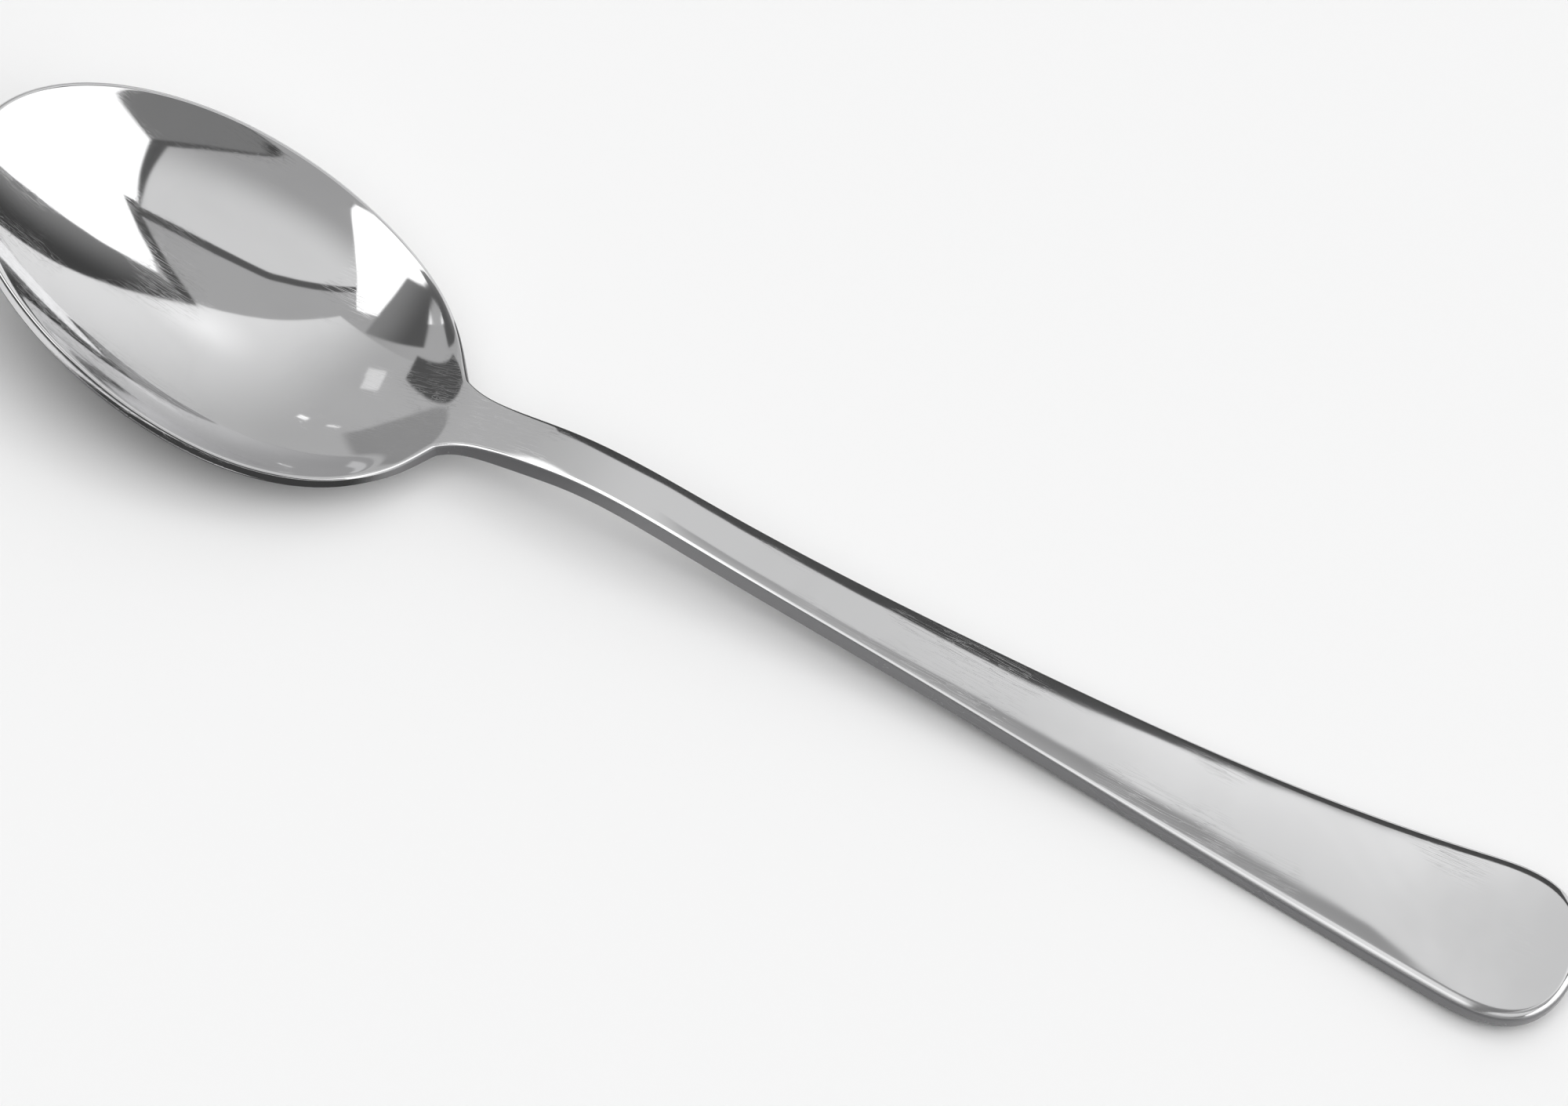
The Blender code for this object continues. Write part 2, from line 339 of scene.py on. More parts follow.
def shank_half_width(x):
    """Half the neck's width, plus a flare that grows with a power of the way to the widest place."""
    narrowest = HEEL + NECK_PAST_HEEL
    widest = LENGTH - END_ROUND
    flare = np.clip((x - narrowest) / (widest - narrowest), 0.0, None) ** FLARE_POWER
    return 0.5 * NECK_WIDTH + 0.5 * (END_WIDTH - NECK_WIDTH) * flare


def handle_half_width(x):
    """The shank plus an exponential spread at the heel, times a superellipse at the handle's end.

    Inside the bowl the neck's outline falls away below zero, so that it plays no part there.
    """
    past_heel = soft_above_zero(x - HEEL + NECK_INSIDE, NECK_INSIDE) - NECK_INSIDE
    spread = NECK_SPREAD * np.exp(-past_heel / NECK_SPREAD_REACH)
    rounding = np.clip((x - LENGTH + END_ROUND) / END_ROUND, 0.0, 1.0)
    in_bowl = 1.0 - ease(x, HEEL - WALL_GROWTH, HEEL - 2.0 * NECK_INSIDE)
    full = shank_half_width(x) + spread
    return full * np.sqrt(1.0 - rounding ** END_POWER) - HOLLOW_WIDTH * in_bowl


def half_width(x):
    """The wider of bowl and handle, joined by a quadratic smooth maximum where they meet."""
    bowl = bowl_half_width(x)
    handle = handle_half_width(x)
    share = np.clip(0.5 + 0.5 * (bowl - handle) / NECK_CORNER, 0.0, 1.0)
    return handle + (bowl - handle) * share + NECK_CORNER * share * (1.0 - share)


def outline(station):
    """Edge points from the tip (0) to the handle's end (1), and where each one's rib starts.

    The stations are even along the edge's length plus its turning. A rib starts on the centre line
    at x plus half the slope of the squared half-width, so it meets the edge square to it; towards
    the handle's end it leans less.
    """
    angle = np.linspace(0.0, math.pi, OUTLINE_SAMPLES)
    x = 0.5 * LENGTH * (1.0 - np.cos(angle))
    width = half_width(x)
    heading = np.unwrap(np.arctan2(np.diff(width), np.diff(x)))
    step = np.hypot(np.diff(x), np.diff(width))
    turn = np.abs(np.diff(heading, append=heading[-1]))
    run = np.concatenate([[0.0], np.cumsum(step + TURN_LENGTH * turn)])
    lean = 1.0 + (END_LEAN - 1.0) * ease(x, HEEL + SHANK_PAST_HEEL, LENGTH - REST_BEFORE_END)
    centre = x + 0.5 * lean * np.gradient(width ** 2, x)
    place = station * run[-1]
    return np.interp(place, run, x), np.interp(place, run, width), np.interp(place, run, centre)


def edge_height(x):
    """Height of the upper edge above the table: a spline from the tip to the handle's end."""
    knots = np.array([
        (0.0, TIP_HEIGHT),
        (RIM_PAST_TIP, RIM_HEIGHT),
        (HEEL - DIP_BEFORE_HEEL, DIP_HEIGHT),
        (HEEL, HEEL_HEIGHT),
        (HEEL + NECK_PAST_HEEL, NECK_HEIGHT),
        (HEEL + FALL_PAST_HEEL, FALL_HEIGHT),
        (HEEL + SHANK_PAST_HEEL, SHANK_HEIGHT),
        (LENGTH - REST_BEFORE_END, REST_HEIGHT),
        (LENGTH, END_HEIGHT),
    ])
    return smooth_curve(knots[:, 0], knots[:, 1], x)


def hollow(x, y):
    """Depth of the bowl below its edge: a dish of 1 - a^2 - b^2 with a steeper wall and a soft heel."""
    inside = 1.0 - along_bowl(x) ** 2 - (y / egg_half_width(x)) ** 2
    softness = RIM_SOFTNESS + (HEEL_SOFTNESS - RIM_SOFTNESS) * ease(x, HEEL - WALL_GROWTH, HEEL)
    dish = soft_above_zero(inside, softness)
    return HOLLOW_DEPTH * dish * (1.0 + WALL_STEEPNESS * (1.0 - np.clip(dish, 0.0, 1.0)))


def crown_height(x):
    """The middle's height above the edges: h w / (w + c) for a half-width w, eased in and out."""
    width = shank_half_width(x)
    present = ease(x, HEEL, HEEL + CROWN_GROWTH) * (1.0 - ease(x, LENGTH - CROWN_FADE, LENGTH))
    return CROWN_HEIGHT * width / (width + CROWN_WIDTH) * present


def thickness(x):
    """Thin bowl wall, thickest at the neck, thinner again towards the handle's end, by two eases."""
    neck = HEEL + NECK_PAST_HEEL
    to_neck = (NECK_THICKNESS - BOWL_WALL) * ease(x, HEEL - WALL_GROWTH, neck)
    to_end = (END_THICKNESS - NECK_THICKNESS) * ease(x, neck, LENGTH - REST_BEFORE_END)
    return BOWL_WALL + to_neck + to_end


def upper_face(station, rib):
    """Points of one half of the upper face, and the thickness of steel under each.

    A rib runs straight in plan from the centre line (0) to the edge (1). Its height is the edge's
    height less the hollow, plus a crown that falls with the square of the way along the rib.
    """
    edge_x, edge_y, centre = outline(station)
    x = centre + rib * (edge_x - centre)
    y = rib * edge_y
    rise = crown_height(x) * (1.0 - rib ** 2)
    z = edge_height(x) - hollow(x, y) + rise
    return np.stack([x, y, z], axis=-1), thickness(x) + rise


def upper_normal(station, rib):
    """Unit normal of the upper face: the cross product of two central differences."""
    s = np.clip(station, PARAMETER_STEP, 1.0 - PARAMETER_STEP)
    t = np.clip(rib, CENTRE_MARGIN, 1.0 - PARAMETER_STEP)
    along = upper_face(s + PARAMETER_STEP, t)[0] - upper_face(s - PARAMETER_STEP, t)[0]
    across = upper_face(s, t + PARAMETER_STEP)[0] - upper_face(s, t - PARAMETER_STEP)[0]
    normal = np.cross(along, across)
    normal[..., 1] *= (station > 0.0) * (station < 1.0) * (rib > 0.0)
    return normal / np.linalg.norm(normal, axis=-1, keepdims=True)


def edge_rounding(x, at_end):
    """Size of the edge's rounding, eased from the tip's to the rim's, the shoulders' and the end's."""
    from_tip = (TIP_ROUND - RIM_ROUND) * (1.0 - ease(x, 0.0, TIP_ROUND_REACH))
    to_shoulder = (SHOULDER_ROUND - RIM_ROUND) * ease(x, HEEL - WALL_GROWTH, HEEL)
    to_end = (at_end - SHOULDER_ROUND) * ease(x, HEEL + SHANK_PAST_HEEL, LENGTH - REST_BEFORE_END)
    return RIM_ROUND + from_tip + to_shoulder + to_end


def half_skin():
    """One half of the spoon's skin: a closed section carried along the stations from tip to end.

    Each section runs along the rib on the upper face, turns down a quarter ellipse, goes down the
    side, turns under a quarter circle and runs back to the centre line underneath. A point
    lies at its depth under the upper face's point, against that point's normal. With the points
    come two masks: the edge's wear, which dies away from the rounding, and the flank of the neck
    and the handle, which is dull and also painted dark as shade, standing in for the shaded floor
    it mirrors; the bowl's outside is polished.
    """
    station = np.linspace(0.0, 1.0, STATIONS + 1)[:, None]
    edge, _ = upper_face(station, np.ones_like(station))
    just_inside, _ = upper_face(station, np.full_like(station, 1.0 - PARAMETER_STEP))
    rib_length = np.linalg.norm(edge - just_inside, axis=-1) / PARAMETER_STEP
    wall = thickness(edge[..., 0])
    radius = edge_rounding(edge[..., 0], END_EDGE_DEPTH)
    reach = edge_rounding(edge[..., 0], END_EDGE_REACH)
    quarter = np.linspace(0.0, 0.5 * math.pi, ROUND_STRIPS + 1)[None, :]

    flat_rib = 1.0 - reach / rib_length
    top = np.linspace(0.0, 1.0, TOP_STRIPS + 1)[None, :-1] * flat_rib
    upper_turn = 1.0 - reach * (1.0 - np.sin(quarter)) / rib_length
    lower_turn = 1.0 - radius * (1.0 - np.cos(quarter)) / rib_length
    under = np.linspace(1.0, 0.0, UNDER_STRIPS + 1)[None, 1:] * (1.0 - radius / rib_length)
    rib = np.concatenate([top, upper_turn, lower_turn, under], axis=1)

    stations = np.broadcast_to(station, rib.shape)
    points, steel = upper_face(stations, rib)
    depth = np.concatenate([
        np.zeros_like(top),
        radius * (1.0 - np.cos(quarter)),
        wall - radius * (1.0 - np.sin(quarter)),
        steel[:, -UNDER_STRIPS:],
    ], axis=1)
    skin = points - depth[..., None] * upper_normal(stations, rib)
    from_edge = np.clip((flat_rib - rib) * rib_length, 0.0, None)
    edge_wear = np.exp(-from_edge / EDGE_FADE)
    past_bowl = ease(edge[..., 0], HEEL - WALL_GROWTH, HEEL)
    # Mask of the neck's and the handle's flank: duller there, and painted dark as shade.
    dull_flank_and_shade = past_bowl * edge_wear * ease(depth, FLANK_START * radius, FLANK_FULL * radius)
    return skin, {"edge": edge_wear * radius / END_EDGE_DEPTH, "dull_flank_and_shade": dull_flank_and_shade}


def finished_mesh():
    """Both halves of the skin, laid on the table as the frame's spoon lies, as one closed mesh."""
    skin, masks = half_skin()
    rows, columns = skin.shape[:2]
    points = laid_down(skin.reshape(-1, 3))
    corner = np.arange(rows * columns).reshape(rows, columns)
    quads = np.stack([corner[:-1, :-1], corner[1:, :-1], corner[1:, 1:], corner[:-1, 1:]], axis=-1)
    quads = quads.reshape(-1, 4)
    other_side = points * (1.0, -1.0, 1.0)
    mesh = bpy.data.meshes.new("polished_spoon")
    mesh.from_pydata(
        np.concatenate([points, other_side]).tolist(),
        [],
        np.concatenate([quads, quads[:, ::-1] + len(points)]).tolist(),
    )
    for name, mask in masks.items():
        values = mesh.attributes.new(name, "FLOAT", "POINT")
        values.data.foreach_set("value", np.tile(mask.ravel(), 2).astype(np.float32))
    form = bmesh.new()
    form.from_mesh(mesh)
    bmesh.ops.remove_doubles(form, verts=form.verts, dist=SEAM_MERGE)
    bmesh.ops.recalc_face_normals(form, faces=form.faces)
    form.to_mesh(mesh)
    form.free()
    mesh.shade_smooth()
    return mesh


def laid_down(points):
    """Turn the spoon about Y until bowl and handle lie level, then move it into the frame's box.

    The lowest skin is pressed flat at z = 0, as on the frame's spoon.
    """
    tilt = 0.0
    for _ in range(SETTLE_STEPS):
        height = points[:, 2] * math.cos(tilt) - points[:, 0] * math.sin(tilt)
        in_bowl = points[:, 0] < HEEL
        bowl = np.where(in_bowl, height, np.inf).argmin()
        handle = np.where(in_bowl, np.inf, height).argmin()
        tilt += math.atan2(height[handle] - height[bowl], points[handle, 0] - points[bowl, 0])
    turned = points @ np.array(Matrix.Rotation(tilt, 3, "Y")).T
    low, high = turned.min(axis=0), turned.max(axis=0)
    frame_low, frame_high = np.array(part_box("spoon"))
    turned[:, 0] += 0.5 * (frame_low[0] + frame_high[0]) - 0.5 * (low[0] + high[0])
    turned[:, 2] += frame_low[2] - low[2] - REST_FLAT_DEPTH
    turned[:, 2] = np.maximum(turned[:, 2], frame_low[2])
    return turned


def add_node(tree, kind, inputs=None, **settings):
    """One node with its settings, and its inputs by name or number, each a value or an output."""
    node = tree.nodes.new(kind)
    for name, value in settings.items():
        setattr(node, name, value)
    for key, value in (inputs or {}).items():
        if isinstance(value, bpy.types.NodeSocket):
            tree.links.new(value, node.inputs[key])
        else:
            node.inputs[key].default_value = value
    return node


def calculate(tree, operation, first, second):
    return add_node(tree, "ShaderNodeMath", {0: first, 1: second}, operation=operation).outputs[0]


def fade(tree, value, start, end, low=0.0, high=1.0):
    """Low before start, high after end, and a smooth step between them."""
    inputs = {0: value, 1: start, 2: end, 3: low, 4: high}
    return add_node(tree, "ShaderNodeMapRange", inputs, interpolation_type="SMOOTHSTEP").outputs[0]


def fade_out(tree, value, start, end):
    return fade(tree, value, start, end, 1.0, 0.0)


def blend(tree, mask, first, second):
    return add_node(tree, "ShaderNodeMix", {0: mask, 2: first, 3: second}).outputs[0]


def blend_colours(tree, mask, first, second):
    inputs = {"Factor": mask, 6: first, 7: second}
    return add_node(tree, "ShaderNodeMix", inputs, data_type="RGBA").outputs[2]


def noise(tree, place, scale, detail=0.0, distortion=0.0):
    inputs = {"Vector": place, "Scale": scale, "Detail": detail, "Distortion": distortion}
    return add_node(tree, "ShaderNodeTexNoise", inputs).outputs["Fac"]


def new_group(name, inputs, outputs):
    """An empty shader node group with its named sockets, and its two end nodes."""
    group = bpy.data.node_groups.new(name, "ShaderNodeTree")
    for socket, kind in inputs.items():
        group.interface.new_socket(socket, in_out="INPUT", socket_type=kind)
    for socket, kind in outputs.items():
        group.interface.new_socket(socket, in_out="OUTPUT", socket_type=kind)
    return group, group.nodes.new("NodeGroupInput").outputs, group.nodes.new("NodeGroupOutput")


def hairline_group():
    """Mask of hairline scratches: the thin level lines of a noise that is stretched along one way."""
    group, given, result = new_group(
        "hairlines",
        {"Place": "NodeSocketVector", "Turn": "NodeSocketVector", "Stretch": "NodeSocketVector",
         "Fineness": "NodeSocketFloat"},
        {"Mask": "NodeSocketFloat"},
    )
    turned = add_node(group, "ShaderNodeMapping",
                      {"Vector": given["Place"], "Rotation": given["Turn"], "Scale": given["Stretch"]})
    level = calculate(group, "SUBTRACT", noise(group, turned.outputs[0], 1.0, 1.0), 0.5)
    lines = fade_out(group, calculate(group, "ABSOLUTE", level, 0.0), 0.0, given["Fineness"])
    patches = fade(group, noise(group, given["Place"], PATCH_SCALE, 1.0), *PATCH_LEVELS)
    group.links.new(calculate(group, "MULTIPLY", lines, patches), result.inputs["Mask"])
    return group


def new_material(name):
    """A node material, its tree and its Principled shader."""
    material = bpy.data.materials.new(name)
    material.use_nodes = True
    tree = material.node_tree
    return material, tree, tree.nodes["Principled BSDF"]


def polished_steel():
    """Mirror-polished steel: polishing waves, hairlines, smudges, pinprick dents and dull flanks
    painted dark as shade.
    """
    material, tree, shader = new_material("polished_steel")
    place = add_node(tree, "ShaderNodeTexCoord").outputs["Object"]
    edge = add_node(tree, "ShaderNodeAttribute", attribute_name="edge").outputs["Fac"]
    dull_flank_and_shade = add_node(tree, "ShaderNodeAttribute", attribute_name="dull_flank_and_shade").outputs["Fac"]
    hairlines = hairline_group()
    along = add_node(tree, "ShaderNodeGroup", {"Place": place, **LONG_SCRATCHES}, node_tree=hairlines)
    across = add_node(tree, "ShaderNodeGroup", {"Place": place, **CROSS_SCRATCHES}, node_tree=hairlines)
    scratches = calculate(tree, "MAXIMUM", along.outputs["Mask"], across.outputs["Mask"])
    smudges = fade(tree, noise(tree, place, SMUDGE_SCALE, SMUDGE_DETAIL, SMUDGE_SWIRL), *SMUDGE_LEVELS)
    dents = add_node(tree, "ShaderNodeTexVoronoi", {"Vector": place, "Scale": DENT_SCALE})
    dent = fade_out(tree, dents.outputs["Distance"], *DENT_EDGE)

    tone = blend_colours(tree, smudges, STEEL_COLOUR, SMUDGE_COLOUR)
    # Painted shade: on the flank the tone turns dark grey and the metal turns to little, standing in
    # for the shaded floor it mirrors.
    tree.links.new(blend_colours(tree, dull_flank_and_shade, tone, FLANK_PAINTED_SHADE), shader.inputs["Base Color"])
    tree.links.new(fade(tree, dull_flank_and_shade, 0.0, 1.0, 1.0, FLANK_METALLIC), shader.inputs["Metallic"])

    rough = STEEL_ROUGHNESS
    for mask, added in (
            (smudges, SMUDGE_ROUGHNESS), (scratches, SCRATCH_ROUGHNESS),
            (edge, EDGE_ROUGHNESS), (dull_flank_and_shade, FLANK_ROUGHNESS)):
        rough = calculate(tree, "ADD", calculate(tree, "MULTIPLY", mask, added), rough)
    tree.links.new(rough, shader.inputs["Roughness"])

    waves = add_node(tree, "ShaderNodeBump", {
        "Height": noise(tree, place, WAVE_SCALE, 1.0), "Strength": 1.0, "Distance": WAVE_DEPTH})
    pricks = add_node(tree, "ShaderNodeBump", {
        "Height": dent, "Strength": 1.0, "Distance": DENT_DEPTH,
        "Normal": waves.outputs[0]}, invert=True)
    cuts = add_node(tree, "ShaderNodeBump", {
        "Height": scratches, "Strength": 1.0, "Distance": SCRATCH_DEPTH,
        "Normal": pricks.outputs[0]}, invert=True)
    tree.links.new(cuts.outputs[0], shader.inputs["Normal"])
    return material


def matt_material(name, colour):
    """One even colour without any sheen, for the studio's floor."""
    material, _, shader = new_material(name)
    shader.inputs["Base Color"].default_value = colour
    shader.inputs["Roughness"].default_value = 1.0
    shader.inputs["Specular IOR Level"].default_value = 0.0
    return material


def stage_sheet(name, corners, material):
    """A flat sheet of the studio, which is no part of the spoon."""
    mesh = bpy.data.meshes.new(name)
    mesh.from_pydata(corners, [], [tuple(range(len(corners)))])
    mesh.materials.append(material)
    sheet = bpy.data.objects.new(name, mesh)
    bpy.context.scene.collection.objects.link(sheet)
    return sheet


def make_floor():
    reach = FLOOR_REACH
    corners = [(-reach, -reach, 0.0), (reach, -reach, 0.0), (reach, reach, 0.0), (-reach, reach, 0.0)]
    stage_sheet("pale_floor", corners, matt_material("pale_floor", FLOOR_COLOUR))


def reflection_card(name, corners, material):
    """A card that only reflections see, so that it neither shades the floor nor hides the spoon."""
    card = stage_sheet(name, corners, material)
    card.visible_camera = False
    card.visible_diffuse = False
    card.visible_shadow = False


def standing_card(name, top, material):
    """A card that stands on the floor under the corners of its top edge, from left to right."""
    left, right = top[0], top[-1]
    feet = [(left[0], left[1], 0.0), (right[0], right[1], 0.0)]
    reflection_card(name, feet + top[::-1], material)


def glowing_material(name):
    """A black material that only glows, its tree and its shader."""
    material, tree, shader = new_material(name)
    shader.inputs["Base Color"].default_value = (0.0, 0.0, 0.0, 1.0)
    shader.inputs["Specular IOR Level"].default_value = 0.0
    shader.inputs["Emission Strength"].default_value = 1.0
    return material, tree, shader


def show_front_only(tree, shader, mask):
    """Show the card where the mask is, from its front, and let the light through from its back."""
    back = add_node(tree, "ShaderNodeNewGeometry").outputs["Backfacing"]
    front = calculate(tree, "SUBTRACT", 1.0, back)
    tree.links.new(calculate(tree, "MULTIPLY", front, mask), shader.inputs["Alpha"])


def hood_face(tree, x, ratio):
    """Light of the hood's face: a rise along the neck, and a glow towards the handle's end."""
    glow_place = calculate(tree, "MULTIPLY", fade(tree, x, *END_GLOW_RISE),
                           fade_out(tree, x, *END_GLOW_FALL))
    glow_inputs = dict(enumerate((ratio, *END_GLOW_RATIOS, *END_GLOW_LIGHT)))
    glow = add_node(tree, "ShaderNodeMapRange", glow_inputs).outputs[0]
    return calculate(tree, "ADD", fade(tree, x, *FACE_SPAN, *FACE_LIGHT),
                     calculate(tree, "MULTIPLY", glow_place, glow))


def hood_strip(tree, x, ratio):
    """Mask and light of the grey strip, whose border sharpens again at the handle's end."""
    border = calculate(tree, "ADD", fade(tree, x, *HOOD_STRIP_SPAN, HOOD_NECK_STRIP, HOOD_END_STRIP),
                       fade(tree, x, *HOOD_LAST_STRIP, 0.0, HOOD_LAST_STRIP_SHIFT))
    near_light = fade(tree, x, *HOOD_WHITE_STOP, *STRIP_NEAR_LIGHT)
    far_light = fade(tree, x, *STRIP_LIGHT_SPAN, *STRIP_FAR_LIGHT)
    light = fade(tree, ratio, HOOD_WHITE, border, near_light, far_light)
    softness = calculate(tree, "ADD", fade(tree, x, *STRIP_SOFTENING, *STRIP_SOFTNESS),
                         fade(tree, x, *STRIP_SHARPENING, 0.0, -STRIP_SHARPER_BY))
    past_border = calculate(tree, "DIVIDE", calculate(tree, "SUBTRACT", ratio, border), softness)
    mask = calculate(tree, "MULTIPLY", fade_out(tree, past_border, -1.0, 1.0),
                     fade(tree, x, *HOOD_STRIP_START))
    return mask, light


def hood_white(tree, x, ratio):
    """Mask and light of the white part, dimmer on the near side and straight over the handle."""
    shift = calculate(tree, "ADD", fade(tree, x, *HOOD_NECK_WHITE_OUT, 0.0, -HOOD_NECK_WHITE_SHIFT),
                      fade(tree, x, *HOOD_NECK_WHITE_BACK, 0.0, HOOD_NECK_WHITE_SHIFT))
    past_border = calculate(tree, "SUBTRACT", calculate(tree, "SUBTRACT", ratio, shift), HOOD_WHITE)
    mask = calculate(tree, "MULTIPLY", fade_out(tree, past_border, -HOOD_WHITE_FADE, 0.0),
                     fade_out(tree, x, *HOOD_WHITE_STOP))
    dimmer = calculate(tree, "MULTIPLY", fade(tree, x, *WHITE_SPAN),
                       fade_out(tree, ratio, *WHITE_DIM_RATIOS))
    light = blend(tree, dimmer, fade(tree, x, *WHITE_SPAN, *WHITE_LIGHT), WHITE_DIM_LIGHT)
    overhead = calculate(tree, "MULTIPLY", fade(tree, ratio, *OVERHEAD_RATIOS),
                         fade(tree, x, *OVERHEAD_SPAN))
    return mask, blend(tree, overhead, light, OVERHEAD_LIGHT)


def hood_material():
    """The hood's face, strip and white part, seen from underneath only, as far back as its far edge."""
    material, tree, shader = glowing_material("light_hood")
    place = add_node(tree, "ShaderNodeTexCoord").outputs["Object"]
    x, y, z = add_node(tree, "ShaderNodeSeparateXYZ", {0: place}).outputs
    ratio = calculate(tree, "DIVIDE", y, z)
    light = hood_face(tree, x, ratio)
    for mask, band_light in (hood_strip(tree, x, ratio), hood_white(tree, x, ratio)):
        light = blend(tree, mask, light, band_light)
    tree.links.new(light, shader.inputs["Emission Color"])

    far_edge = calculate(tree, "ADD", fade(tree, x, *HOOD_NECK_TO_FACE, HOOD_NECK_EDGE, HOOD_FACE_EDGE),
                         fade(tree, x, *HOOD_FACE_TO_END, 0.0, HOOD_END_EDGE - HOOD_FACE_EDGE))
    far_edge = calculate(tree, "ADD", far_edge,
                         fade(tree, x, *HOOD_LAST_EDGE, 0.0, HOOD_LAST_EDGE_SHIFT))
    past_edge = calculate(tree, "SUBTRACT", ratio, far_edge)
    shown = calculate(tree, "MULTIPLY", fade_out(tree, past_edge, -HOOD_SOFT_RATIO, HOOD_SOFT_RATIO),
                      fade(tree, x, HOOD_LEFT, HOOD_LEFT + HOOD_SOFT_LEFT))
    show_front_only(tree, shader, shown)
    return material


def make_hood():
    """A sloping sheet over the handle, facing down, bounded by its nearest and furthest ratios."""
    corners = []
    furthest = HOOD_END_EDGE + HOOD_MARGIN
    far_side = [(HOOD_LEFT, furthest), (HOOD_RIGHT, furthest)]
    near_side = [(HOOD_RIGHT, HOOD_NEAR), (HOOD_LEFT, HOOD_NEAR)]
    for x, ratio in far_side + near_side:
        height = (x - HOOD_AIM) * math.tan(math.radians(HOOD_SLOPE))
        corners.append((x, ratio * height, height))
    reflection_card("light_hood", corners, hood_material())


def make_shade_mat():
    """A mat of painted shade with soft edges, flat on the floor: a dark glow that only reflections see.
    """
    material, tree, shader = glowing_material("painted_shade_mat")
    # The mat's dark glow is painted shade, which the steel mirrors as shaded floor.
    shader.inputs["Emission Color"].default_value = (MAT_SHADE_LEVEL, MAT_SHADE_LEVEL, MAT_SHADE_LEVEL, 1.0)
    place = add_node(tree, "ShaderNodeTexCoord").outputs["Object"]
    x, y, _ = add_node(tree, "ShaderNodeSeparateXYZ", {0: place}).outputs
    mask = 1.0
    for value, low, high in ((x, MAT_LEFT, MAT_RIGHT), (y, MAT_NEAR, MAT_FAR)):
        mask = calculate(tree, "MULTIPLY", fade(tree, value, low, low + MAT_FADE), mask)
        mask = calculate(tree, "MULTIPLY", fade_out(tree, value, high - MAT_FADE, high), mask)
    show_front_only(tree, shader, mask)
    corners = [(MAT_LEFT, MAT_NEAR, MAT_HEIGHT), (MAT_RIGHT, MAT_NEAR, MAT_HEIGHT),
               (MAT_RIGHT, MAT_FAR, MAT_HEIGHT), (MAT_LEFT, MAT_FAR, MAT_HEIGHT)]
    reflection_card("painted_shade_mat", corners, material)


def make_cards():
    """Dark cards that draw edges, the hood that lights the handle and the mat of painted shade that the
    bowl mirrors.
    """
    dark, tree, shader = new_material("dark_card")
    shader.inputs["Base Color"].default_value = DARK_CARD_COLOUR
    shader.inputs["Roughness"].default_value = DARK_CARD_ROUGHNESS
    show_front_only(tree, shader, 1.0)
    standing_card("dark_card", [DARK_CARD_LEFT, DARK_CARD_SHOULDER, DARK_CARD_RIGHT], dark)
    standing_card("floor_seam", [SEAM_LEFT, SEAM_RIGHT], dark)
    make_hood()
    make_shade_mat()


def hang_lamp():
    """One wide soft lamp over the floor, which the mirror-bright steel does not show."""
    light = bpy.data.lights.new("soft_lamp", "AREA")
    light.size = LAMP_SIZE
    light.energy = LAMP_POWER
    lamp = bpy.data.objects.new("soft_lamp", light)
    lamp.location = (0.0, 0.0, LAMP_HEIGHT)
    lamp.visible_glossy = False
    bpy.context.scene.collection.objects.link(lamp)


def towards(azimuth, elevation):
    """Unit vector from the spoon: azimuth in degrees from the far side (+Y) round to the right (+X)."""
    a = math.radians(azimuth)
    e = math.radians(elevation)
    return Vector((math.sin(a) * math.cos(e), math.cos(a) * math.cos(e), math.sin(e)))


def dot_product(tree, first, second):
    return add_node(
        tree, "ShaderNodeVectorMath", {0: first, 1: second}, operation="DOT_PRODUCT").outputs["Value"]


def panel_group():
    """Mask of a flat panel seen in a direction, inside all its five edge planes, and its light."""
    group, given, result = new_group(
        "studio_panel",
        {"Direction": "NodeSocketVector", "Slope": "NodeSocketVector", "Start": "NodeSocketFloat",
         "Reach": "NodeSocketFloat", "Softness": "NodeSocketFloat", "Light": "NodeSocketFloat",
         "Dim": "NodeSocketFloat", **{edge: "NodeSocketVector" for edge in PANEL_EDGES}},
        {"Mask": "NodeSocketFloat", "Level": "NodeSocketFloat"},
    )
    outer = calculate(group, "MULTIPLY", given["Softness"], -1.0)
    mask = 1.0
    for edge in PANEL_EDGES:
        distance = dot_product(group, given["Direction"], given[edge])
        mask = calculate(group, "MULTIPLY", mask, fade(group, distance, outer, given["Softness"]))
    climb = dot_product(group, given["Direction"], given["Slope"])
    end = calculate(group, "ADD", given["Start"], given["Reach"])
    level = fade(group, climb, given["Start"], end, given["Light"], given["Dim"])
    group.links.new(mask, result.inputs["Mask"])
    group.links.new(level, result.inputs["Level"])
    return group


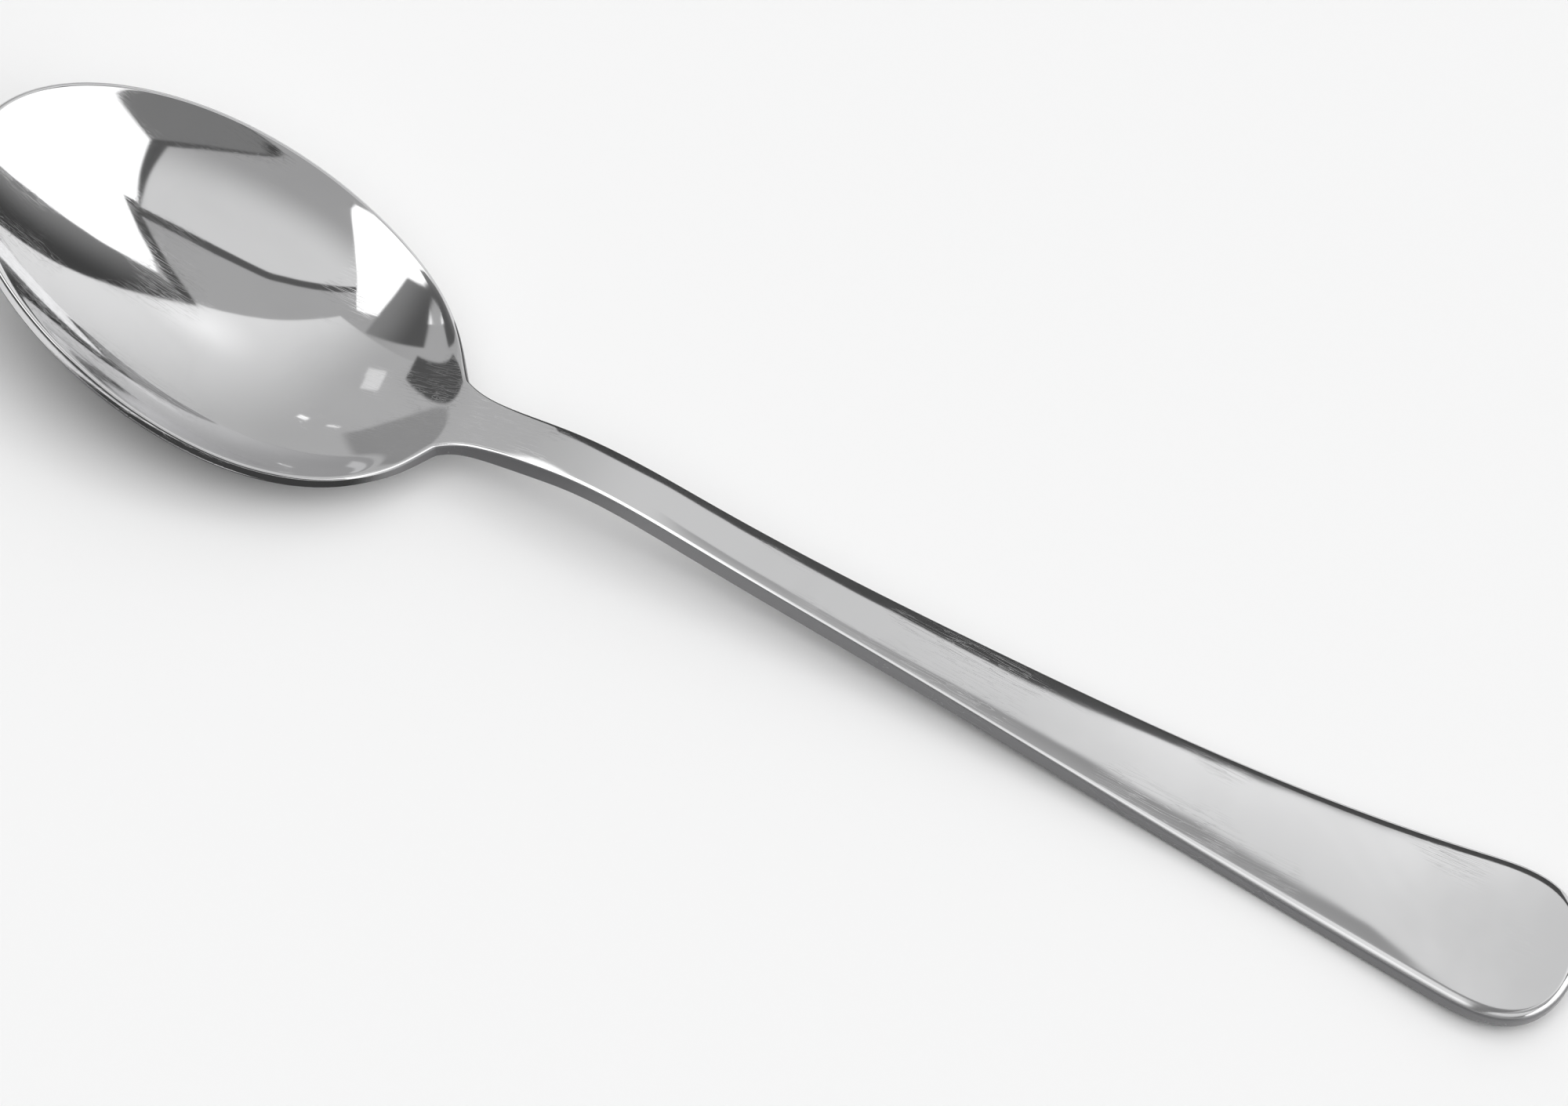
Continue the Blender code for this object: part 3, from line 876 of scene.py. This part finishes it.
def light_studio():
    """The world as a light tent: a soft grey dome, with brighter and darker panels set into it."""
    world = bpy.data.worlds.new("light_tent")
    bpy.context.scene.world = world
    world.use_nodes = True
    tree = world.node_tree
    direction = add_node(tree, "ShaderNodeTexCoord").outputs["Generated"]
    height = add_node(tree, "ShaderNodeSeparateXYZ", {0: direction}).outputs["Z"]
    light = fade(tree, height, 0.0, DOME_TOP, DOME_AT_HORIZON, DOME_OVERHEAD)
    group = panel_group()
    for panel in PANELS:
        corners = [towards(azimuth, elevation) for azimuth, elevation in panel["corners"]]
        middle = sum(corners, Vector())
        inputs = {"Direction": direction, "Softness": panel["softness"], "Light": panel["light"],
                  "Dim": panel["dim"], "Start": panel.get("start", 0.0), "Reach": panel["reach"]}
        for i, name in enumerate(PANEL_EDGES):
            edge = corners[i % len(corners)].cross(corners[(i + 1) % len(corners)]).normalized()
            inputs[name] = edge if edge.dot(middle) > 0.0 else -edge
        inputs["Slope"] = towards(*panel["slope"]) if "slope" in panel else inputs[PANEL_EDGES[0]]
        placed = add_node(tree, "ShaderNodeGroup", inputs, node_tree=group)
        light = blend(tree, placed.outputs["Mask"], light, placed.outputs["Level"])
    tree.links.new(light, tree.nodes["Background"].inputs["Color"])


def aim_camera():
    """The photograph's camera: a long lens above the near side, turned about its own axis."""
    elevation = math.radians(CAMERA_ELEVATION)
    roll = math.radians(CAMERA_ROLL)
    back = Vector((0.0, -math.cos(elevation), math.sin(elevation)))
    level = Vector((1.0, 0.0, 0.0))
    upright = back.cross(level)
    right = level * math.cos(roll) + upright * math.sin(roll)
    up = upright * math.cos(roll) - level * math.sin(roll)
    lens = bpy.data.cameras.new("photo_camera")
    lens.sensor_fit = "HORIZONTAL"
    lens.sensor_width = SENSOR_WIDTH
    lens.lens = SENSOR_WIDTH * CAMERA_DISTANCE / PICTURE_WIDTH_AT_SPOON
    camera = bpy.data.objects.new("photo_camera", lens)
    camera.matrix_world = Matrix.Translation(Vector(CAMERA_TARGET) + CAMERA_DISTANCE * back) @ Matrix(
        (right, up, back)).transposed().to_4x4()
    bpy.context.scene.collection.objects.link(camera)
    bpy.context.scene.camera = camera


def dress_spoon():
    spoon = bpy.data.objects.new("polished_spoon", finished_mesh())
    spoon.data.materials.append(polished_steel())
    bpy.context.scene.collection.objects.link(spoon)
    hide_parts("spoon")
    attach(spoon, "root")


bpy.context.scene.view_settings.view_transform = "Standard"
aim_camera()
dress_spoon()
make_floor()
make_cards()
hang_lamp()
light_studio()
